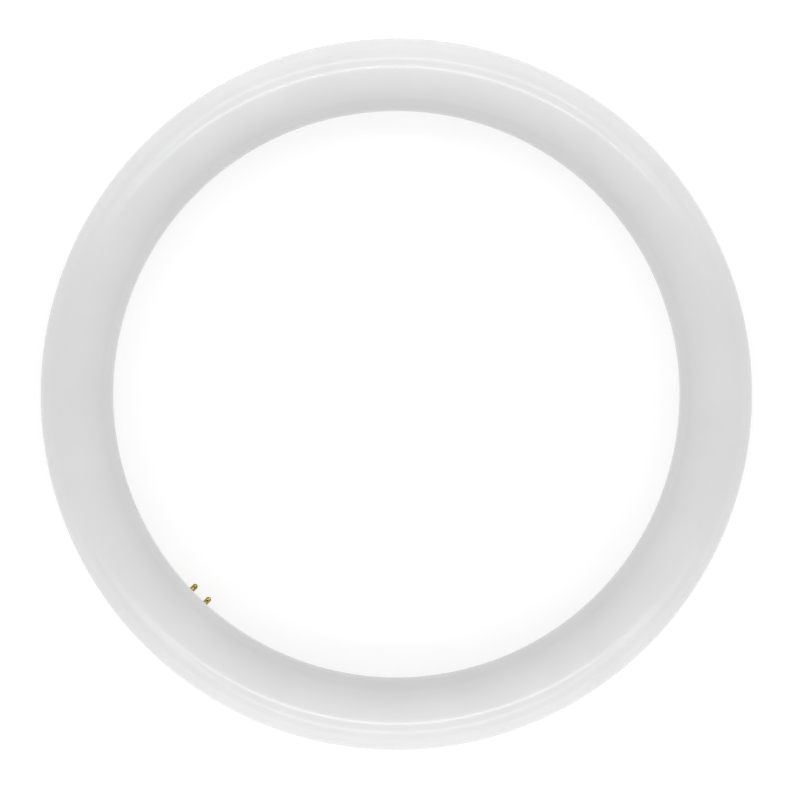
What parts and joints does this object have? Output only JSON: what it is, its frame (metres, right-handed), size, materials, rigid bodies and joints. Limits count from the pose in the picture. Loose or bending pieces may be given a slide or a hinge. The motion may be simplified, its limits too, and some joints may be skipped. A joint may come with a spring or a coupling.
{
  "type": "circular led tube",
  "caption": "Round opal ring lamp with a tilted pin base on its inner rear side, for a ring light fitting.",
  "frame": {"origin": "on the ring's axis, level with the lowest point of the lamp, which is the noses of the rear pins", "axes": "+Z along the ring's axis, out of its lit front; the pin base lies at -X and +Y runs along the ring there"},
  "size_m": [0.3, 0.3, 0.0336],
  "materials": {
    "opal_tube": "glossy opal",
    "white_base": "fine satin moulding",
    "brass_pin": "polished"
  },
  "bodies": {
    "root": {"tube": "opal_tube", "pin_base": "white_base", "contact_pin_1": "brass_pin", "contact_pin_2": "brass_pin", "contact_pin_3": "brass_pin", "contact_pin_4": "brass_pin"}
  },
  "joints": []
}
